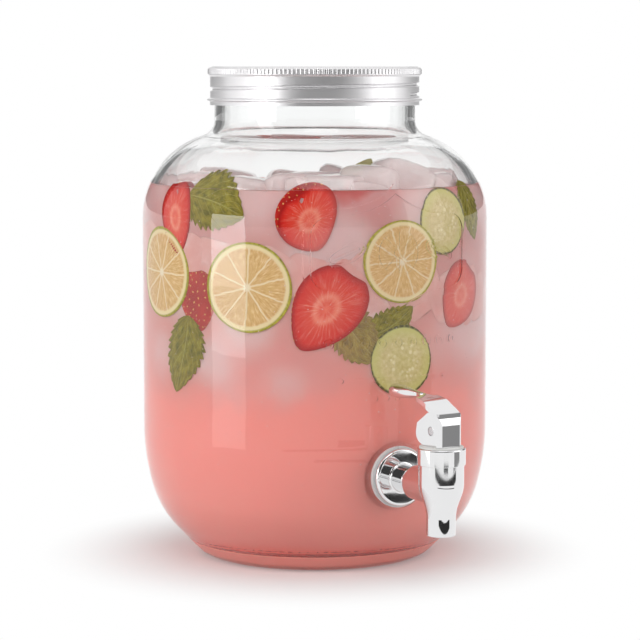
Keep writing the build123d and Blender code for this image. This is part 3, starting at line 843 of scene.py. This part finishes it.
# ------------------------------------------------------------------ fruit
def flat_uv(piece, radius):
    """UV map from the piece's own plan: its centre at the middle and that radius at the border."""
    layer = piece.data.uv_layers.new(name="plan") if not piece.data.uv_layers else piece.data.uv_layers[0]
    for loop in piece.data.loops:
        co = piece.data.vertices[loop.vertex_index].co
        layer.data[loop.index].uv = (0.5 + co.x / radius / 2, 0.5 + co.y / radius / 2)


def round_slice(name, radius, thick, material, seed, wobble=0.02):
    """A round slice of fruit with a rounded rim, lying flat and facing +Z."""
    shake = Random(seed)
    deselect()
    bpy.ops.mesh.primitive_cylinder_add(
        vertices=72, radius=radius, depth=thick, end_fill_type="NGON", location=(0, 0, -thick / 2)
    )
    piece = bpy.context.object
    edit(piece)
    bpy.ops.mesh.select_mode(type="FACE")
    bpy.ops.mesh.select_all(action="DESELECT")
    bpy.ops.object.mode_set(mode="OBJECT")
    for face in piece.data.polygons:
        face.select = abs(face.normal.z) > 0.9
    bpy.ops.object.mode_set(mode="EDIT")
    bpy.ops.mesh.inset(thickness=radius * 0.04)
    bpy.ops.mesh.inset(thickness=radius * 0.1, depth=-radius * 0.008)
    for _ in range(4):
        bpy.ops.mesh.inset(thickness=radius * 0.19)
    bpy.ops.mesh.select_all(action="DESELECT")
    bpy.ops.object.mode_set(mode="OBJECT")
    lobes = [(shake.uniform(0, 2 * pi), k) for k in (2, 3, 5)]
    for vertex in piece.data.vertices:
        angle = atan2(vertex.co.y, vertex.co.x)
        swell = 1 + sum(wobble / k * cos(k * angle + phase) for phase, k in lobes)
        vertex.co.x *= swell
        vertex.co.y *= swell
    piece.modifiers.new("rim", "BEVEL").width = thick * 0.28
    piece.modifiers["rim"].segments = 3
    piece.modifiers["rim"].limit_method = "ANGLE"
    piece.modifiers["rim"].angle_limit = radians(60)
    apply_all(piece)
    flat_uv(piece, radius)
    bpy.ops.object.mode_set(mode="EDIT")
    close(piece, name)
    give(piece, material)
    return piece


def berry_half(name, length, width, seed, cut=True):
    """Half a strawberry, or a whole one: pointed along -Y, its cut face towards +Z."""
    shake = Random(seed)
    deselect()
    bpy.ops.mesh.primitive_uv_sphere_add(segments=48, ring_count=28, radius=1, location=(0, 0, 0))
    piece = bpy.context.object
    piece.data.transform(Matrix.Rotation(radians(90), 4, "X"))
    if cut:
        edit(piece)
        bpy.ops.mesh.bisect(
            plane_co=(0, 0, 0), plane_no=(0, 0, 1), use_fill=True, clear_outer=True, clear_inner=False
        )
        bpy.ops.mesh.select_all(action="DESELECT")
        bpy.ops.object.mode_set(mode="OBJECT")
        for polygon in piece.data.polygons:
            polygon.select = polygon.normal.z > 0.99
        bpy.ops.object.mode_set(mode="EDIT")
        bpy.ops.mesh.select_mode(type="FACE")
        for scale in (0.95, 0.93, 0.9, 0.88, 0.85, 0.8, 0.7, 0.5):
            bpy.ops.mesh.extrude_region_move()
            bpy.ops.transform.resize(value=(scale, scale, 1), center_override=(0, 0, 0))
        bpy.ops.object.mode_set(mode="OBJECT")
    layer = piece.data.uv_layers[0] if piece.data.uv_layers else piece.data.uv_layers.new(name="plan")
    for loop in piece.data.loops:
        co = piece.data.vertices[loop.vertex_index].co
        layer.data[loop.index].uv = (0.5 + co.x / 2, 0.5 + co.y / 2)
    # Shoulders at the stem end, a blunt point at the other
    bend = shake.uniform(-0.07, 0.07)
    for vertex in piece.data.vertices:
        along = vertex.co.y
        taper = 1 - 0.17 * (1 - along) - 0.16 * max(0, -along) ** 2
        vertex.co.x = vertex.co.x * taper + bend * along**2
        vertex.co.z *= taper * 0.9
        if along > 0.7:
            vertex.co.y -= 0.1 * max(0, 1 - (vertex.co.x**2 + vertex.co.z**2) * 8)
    piece.data.transform(Matrix.Diagonal((width / 1.75, length / 2, width / 2, 1)))
    bpy.ops.object.mode_set(mode="EDIT")
    close(piece, name)
    if not cut:
        give(piece, BERRY_SKIN)
        return piece
    give(piece, BERRY_FACE, BERRY_SKIN)
    for polygon in piece.data.polygons:
        polygon.material_index = 0 if polygon.normal.z > 0.99 else 1
    return piece


def berry_seeds(name, piece, seed, turn, count=60):
    """Seeds set in the part of a strawberry's skin that will face the glass, before it is placed."""
    shake = Random(seed)
    last = len(piece.data.materials) - 1
    skin = [p for p in piece.data.polygons if p.material_index == last and (turn @ p.normal).z > 0.15]
    deselect()
    bpy.ops.mesh.primitive_uv_sphere_add(segments=7, ring_count=5, radius=1, location=(0, 0, 0))
    first = bpy.context.object
    first.data.transform(Matrix.Diagonal((0.00042, 0.0007, 0.00022, 1)))
    grain = first.data
    mesh = bmesh.new()
    chosen = []
    for _ in range(count * 8 if skin else 0):
        face = shake.choice(skin)
        if all((face.center - other).length > 0.0026 for other in chosen) and len(chosen) < count:
            chosen.append(face.center.copy())
            copy = grain.copy()
            stand = face.normal.to_track_quat("Z", "Y").to_matrix().to_4x4()
            copy.transform(Matrix.Translation(face.center) @ stand)
            mesh.from_mesh(copy)
            bpy.data.meshes.remove(copy)
    mesh.to_mesh(grain)
    mesh.free()
    first.name = name
    for polygon in grain.polygons:
        polygon.use_smooth = True
    give(first, SEEDS)
    return first


def leaf(name, length, width, seed, curl=0.18):
    """A mint leaf with a notched edge, puffed between its veins. It lies flat with its tip towards -Y."""
    deselect()
    bpy.ops.mesh.primitive_grid_add(x_subdivisions=24, y_subdivisions=90, size=1, location=(0, 0, 0))
    piece = bpy.context.object
    layer = piece.data.uv_layers[0] if piece.data.uv_layers else piece.data.uv_layers.new(name="plan")
    for loop in piece.data.loops:
        co = piece.data.vertices[loop.vertex_index].co
        layer.data[loop.index].uv = (co.x + 0.5, 0.5 - co.y)
    for vertex in piece.data.vertices:
        across, along = vertex.co.x * 2, 0.5 - vertex.co.y
        half = max(0, sin(pi * min(1, max(0, along)) ** 0.8)) ** 0.75
        notch = 1 - 0.17 * abs(across) ** 3 * (1 - (along * 10) % 1)
        slant = (along * 7 - abs(across) * 3.5) % 1
        puff = 0.03 * sin(pi * slant) * (1 - abs(across) ** 3) * half
        vertex.co.x = across * half * notch * width / 2
        vertex.co.y = (0.5 - along) * length
        vertex.co.z = (puff - curl * (across * half) ** 2 * 0.5) * width
        vertex.co.x += 0.06 * length * sin(along * 3 + seed)
    piece.modifiers.new("body", "SOLIDIFY").thickness = 0.0005
    apply_all(piece)
    edit(piece)
    bpy.ops.mesh.remove_doubles(threshold=0.00002)
    close(piece, name)
    give(piece, MINT)
    return piece


def place_fruit():
    """Everything that floats against the wall: across is the angle from the camera's side."""
    limes = [
        dict(across=-22.1, z=0.1451, radius=0.0223, roll=15),
        dict(across=29.7, z=0.1574, radius=0.0205, roll=40, haze=0.06),
        dict(across=-60.7, z=0.1497, radius=0.0228, roll=70),
        dict(across=118, z=0.160, radius=0.022, roll=10),
        dict(across=200, z=0.140, radius=0.0215, roll=30),
        dict(across=165, z=0.166, radius=0.021, roll=55, layer=1),
    ]
    for index, where in enumerate(limes):
        piece = round_slice(f"lime_slice_{index + 1}", where.pop("radius"), 0.0055, LIME, 3 + index)
        press_to_wall(piece, **where)
    cucumbers = [
        dict(across=29.7, z=0.1087, radius=0.0172, roll=10, haze=0.08),
        dict(across=47.5, z=0.1760, radius=0.0162, roll=60, haze=0.12, layer=1),
        dict(across=140, z=0.130, radius=0.017, roll=20),
        dict(across=235, z=0.165, radius=0.0165, roll=80),
    ]
    for index, where in enumerate(cucumbers):
        name = f"cucumber_slice_{index + 1}"
        piece = round_slice(name, where.pop("radius"), 0.005, CUCUMBER, 30 + index, 0.03)
        press_to_wall(piece, **where)
    berries = [
        dict(across=-52.2, z=0.1775, length=0.036, width=0.025, roll=12, yaw=16),
        dict(across=-1.6, z=0.1780, length=0.036, width=0.034, roll=34, yaw=34, pitch=22),
        dict(across=3.8, z=0.1350, length=0.047, width=0.036, roll=-38, yaw=14, layer=1),
        dict(across=56.4, z=0.1385, length=0.036, width=0.032, roll=-35, haze=0.3),
        dict(across=-41.5, z=0.1375, length=0.031, width=0.025, roll=8, layer=3, haze=0.1, cut=False),
        dict(across=98, z=0.130, length=0.038, width=0.032, roll=40, yaw=20),
        dict(across=180, z=0.155, length=0.038, width=0.033, roll=-20, yaw=-20),
        dict(across=225, z=0.125, length=0.036, width=0.032, roll=15, pitch=20),
        dict(across=150, z=0.178, length=0.034, width=0.030, roll=60, layer=1),
    ]
    for index, where in enumerate(berries):
        length, width = where.pop("length"), where.pop("width")
        piece = berry_half(f"strawberry_{index + 1}", length, width, 60 + index, where.pop("cut", True))
        turn = tilt(where.get("roll", 0), where.get("yaw", 0), where.get("pitch", 0)).to_3x3()
        seeds = berry_seeds(f"strawberry_seeds_{index + 1}", piece, 90 + index, turn)
        press_to_wall(piece, **where)
        if seeds.data.vertices:
            press_to_wall(seeds, **where, rise=0.00012)
        else:
            bpy.data.objects.remove(seeds)
    leaves = [
        dict(across=-35.0, z=0.1838, length=0.036, width=0.030, roll=74, layer=1),
        dict(across=-48.9, z=0.1100, length=0.040, width=0.028, roll=-8),
        dict(across=14.0, z=0.1215, length=0.034, width=0.026, roll=48, layer=2, haze=0.15),
        dict(across=25.0, z=0.1275, length=0.030, width=0.020, roll=122, layer=3),
        dict(across=64.0, z=0.1800, length=0.030, width=0.020, roll=10, layer=2),
        dict(across=130.0, z=0.150, length=0.036, width=0.024, roll=70, layer=2),
        dict(across=215.0, z=0.178, length=0.034, width=0.024, roll=-40),
    ]
    for index, where in enumerate(leaves):
        piece = leaf(f"mint_leaf_{index + 1}", where.pop("length"), where.pop("width"), index)
        press_to_wall(piece, **where)


def mint_afloat():
    afloat = leaf("mint_leaf_afloat", 0.034, 0.02, 21)
    angle = SEE_FROM + radians(17)
    afloat.data.transform(
        Matrix.Translation((cos(angle) * 0.05, sin(angle) * 0.05, DRINK_TOP + 0.008))
        @ Matrix.Rotation(angle + radians(20), 4, "Z")
        @ Matrix.Rotation(radians(28), 4, "X")
    )
    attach(afloat, "jar")


def bubbles():
    """Tiny air bubbles held against the inside of the glass, more of them towards the surface."""
    shake = Random(7)
    deselect()
    bpy.ops.mesh.primitive_ico_sphere_add(subdivisions=1, radius=1, location=(0, 0, 0))
    first = bpy.context.object
    ball = first.data
    mesh = bmesh.new()
    for _ in range(1500):
        z = 0.02 + 0.17 * shake.random() ** 0.6
        angle = shake.uniform(0, 2 * pi)
        size = 0.00012 + 0.00022 * shake.random() ** 3
        reach = wall_radius(z) + FRUIT_SINK - size * 0.3
        copy = ball.copy()
        copy.transform(
            Matrix.Translation((cos(angle) * reach, sin(angle) * reach, z)) @ Matrix.Scale(size, 4)
        )
        mesh.from_mesh(copy)
        bpy.data.meshes.remove(copy)
    mesh.to_mesh(ball)
    mesh.free()
    for polygon in ball.polygons:
        polygon.use_smooth = True
    first.name = "bubbles"
    give(first, BUBBLES)
    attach(first, "jar")


knurl()
drink()
surface_ice()
sunken_ice()
place_fruit()
mint_afloat()
bubbles()


# ------------------------------------------------------------------ stage
def emitting(name, colour, strength):
    material = bpy.data.materials.new(name)
    material.use_nodes = True
    tree = material.node_tree
    tree.nodes.remove(tree.nodes["Principled BSDF"])
    glow = node(tree, "ShaderNodeEmission")
    glow.inputs["Color"].default_value = (*colour, 1)
    glow.inputs["Strength"].default_value = strength
    tree.links.new(glow.outputs[0], tree.nodes["Material Output"].inputs["Surface"])
    return material


def card(name, width, low, high, distance, across, material, through=False):
    """An upright card round the object that only shows in reflections, from low to high above the floor.
    across is its angle from the camera's side, and through lets it show through glass too."""
    angle = SEE_FROM + radians(across)
    deselect()
    bpy.ops.mesh.primitive_grid_add(x_subdivisions=12, y_subdivisions=1, size=1, location=(0, 0, 0))
    piece = bpy.context.object
    piece.name = name
    # Bent round the jar, so that it keeps its distance
    for vertex in piece.data.vertices:
        turn = angle + vertex.co.x * width / distance
        height = low + (vertex.co.y + 0.5) * (high - low)
        vertex.co = (cos(turn) * distance, sin(turn) * distance, height)
    give(piece, material)
    piece.visible_camera = False
    piece.visible_diffuse = False
    piece.visible_shadow = False
    piece.visible_transmission = through
    return piece


def softbox(name, size, distance, across, height, watts):
    angle = SEE_FROM + radians(across)
    lamp = bpy.data.objects.new(name, bpy.data.lights.new(name, "AREA"))
    lamp.data.shape = "RECTANGLE"
    lamp.data.size, lamp.data.size_y = size
    lamp.data.energy = watts
    lamp.location = (cos(angle) * distance, sin(angle) * distance, height)
    toward = Vector((0, 0, 0.13)) - lamp.location
    lamp.rotation_euler = toward.to_track_quat("-Z", "Y").to_euler()
    bpy.context.scene.collection.objects.link(lamp)
    return lamp


def floor():
    """Pale floor that keeps the soft shadow near the jar and runs into the white background through a
    painted glow that grows with distance from the jar.
    """
    deselect()
    bpy.ops.mesh.primitive_plane_add(size=30, location=(0, 0, 0))
    piece = bpy.context.object
    piece.name = "floor"
    material, tree, shader = new_material("pale_floor")
    shader.inputs["Roughness"].default_value = 1
    shader.inputs["Specular IOR Level"].default_value = 0
    reach = node(tree, "ShaderNodeVectorMath", operation="LENGTH")
    tree.links.new(object_space(tree), reach.inputs[0])
    near = noise(tree, object_space(tree), 3, 1)
    tree.links.new(mix(tree, near, (0.79, 0.79, 0.79), (0.81, 0.81, 0.81)), shader.inputs["Base Color"])
    path = node(tree, "ShaderNodeLightPath")
    seen = maths(tree, "MAXIMUM", path.outputs["Is Camera Ray"], path.outputs["Is Glossy Ray"])
    seen = maths(tree, "MAXIMUM", seen, path.outputs["Is Transmission Ray"])
    shader.inputs["Emission Color"].default_value = (1, 1, 1, 1)
    tree.links.new(maths(tree, "MULTIPLY", seen, 0.14), shader.inputs["Emission Strength"])
    # Painted light: seen directly, in glossy and in transmission rays the floor turns into a plain white
    # glow from 68 to 148 mm off the jar's axis, which fades the jar's real shadow out. Nearer the jar, the
    # same rays see a faint even glow of 0.14.
    white = node(tree, "ShaderNodeEmission")
    painted_glow_far = span(tree, reach.outputs["Value"], 0.068, 0.148, smooth=True)
    both = node(tree, "ShaderNodeMixShader")
    tree.links.new(maths(tree, "MULTIPLY", seen, painted_glow_far), both.inputs[0])
    tree.links.new(shader.outputs[0], both.inputs[1])
    tree.links.new(white.outputs[0], both.inputs[2])
    tree.links.new(both.outputs[0], tree.nodes["Material Output"].inputs["Surface"])
    give(piece, material)


def surroundings():
    world = bpy.data.worlds.new("studio")
    bpy.context.scene.world = world
    world.use_nodes = True
    tree = world.node_tree
    back = tree.nodes["Background"]
    path = node(tree, "ShaderNodeLightPath")
    plain = maths(tree, "MAXIMUM", path.outputs["Is Camera Ray"], path.outputs["Is Transmission Ray"])
    plain = maths(tree, "MAXIMUM", plain, path.outputs["Is Glossy Ray"])
    strength = maths(tree, "MULTIPLY_ADD", plain, 0.45)
    tree.nodes[-1].inputs[2].default_value = 0.55
    back.inputs["Color"].default_value = (1, 1, 1, 1)
    tree.links.new(strength, back.inputs["Strength"])


EYE_DISTANCE = 1.25           # from the jar's axis
EYE_HEIGHT = 0.248
EYE_SHIFT = 0.00275           # to the right of the line to the axis
LOOK_DOWN = 5.8               # degrees


def camera():
    """The camera stands level with the lid and looks a little down."""
    lens = bpy.data.cameras.new("camera")
    lens.lens = 135.45
    lens.sensor_width = 36
    lens.clip_start, lens.clip_end = 0.05, 50
    eye = bpy.data.objects.new("camera", lens)
    bpy.context.scene.collection.objects.link(eye)
    facing = Vector((cos(SEE_FROM), sin(SEE_FROM), 0))
    right = Vector((-sin(SEE_FROM), cos(SEE_FROM), 0))
    eye.location = facing * EYE_DISTANCE + right * EYE_SHIFT + Vector((0, 0, EYE_HEIGHT))
    eye.rotation_euler = (radians(90 - LOOK_DOWN), 0, SEE_FROM + radians(90))
    bpy.context.scene.camera = eye


floor()
surroundings()
camera()
softbox("window_left", (0.5, 1.3), 1.6, -62, 0.75, 7)
softbox("wall_right", (1.4, 1.4), 1.9, 75, 0.7, 6)
softbox("top_panel", (1.2, 1.2), 1.5, 10, 1.8, 6)
FLAG = emitting("dark_flag", (1, 1, 1), 0.03)
ROOM_DISTANCE = 1.4
for index, (across, spread, strength) in enumerate(
    [(0, 64, 0.06), (-41, 18, 0.25), (41, 18, 0.3), (-57, 14, 0.5), (56, 12, 0.8), (-70, 12, 0.75)]
):
    shade = emitting(f"room_{index + 1}", (1, 1, 1), strength)
    card(f"room_{index + 1}", radians(spread) * ROOM_DISTANCE, 0.1, 1.6, ROOM_DISTANCE, across, shade)
for index, (low_edge, high_edge, strength) in enumerate(
    [(0, 0.07, 2.2), (0.07, 0.11, 4.0), (0.11, 0.235, 6)]
):
    pane = emitting(f"window_{index + 1}", (1, 1, 1), strength)
    card(f"window_{index + 1}", 0.18, low_edge, high_edge, 0.45, -53, pane)
EDGE = emitting("edge_flag", (1, 1, 1), 0.2)
GREY = emitting("grey_flag", (1, 1, 1), 0.28)
EDGE_DISTANCE = 1.5
EDGE_WIDTH = radians(44) * EDGE_DISTANCE
for side, across in (("left", -138), ("right", 138)):
    edge = card("edge_" + side, EDGE_WIDTH, 0.0, 1.4, EDGE_DISTANCE, across, EDGE, through=True)
    edge.visible_glossy = False
    # The lid's ends see a dark strip of their own, above the height that the jar's side mirrors
    card("lid_edge_" + side, EDGE_WIDTH, 0.2, 0.9, EDGE_DISTANCE, across, EDGE)
card("tap_mark_barrel", 0.62, 0.001, 0.0085, 0.44, 22, FLAG)
card("tap_mark_ring", 0.12, 0.0115, 0.0165, 0.445, 22, FLAG)
card("tap_mark_spout", 0.24, 0.004, 0.0105, 0.283, 24, FLAG)
card("tap_side", 0.22, 0.0, 0.06, 0.5, 64, GREY)


bpy.context.scene.view_settings.view_transform = "Standard"
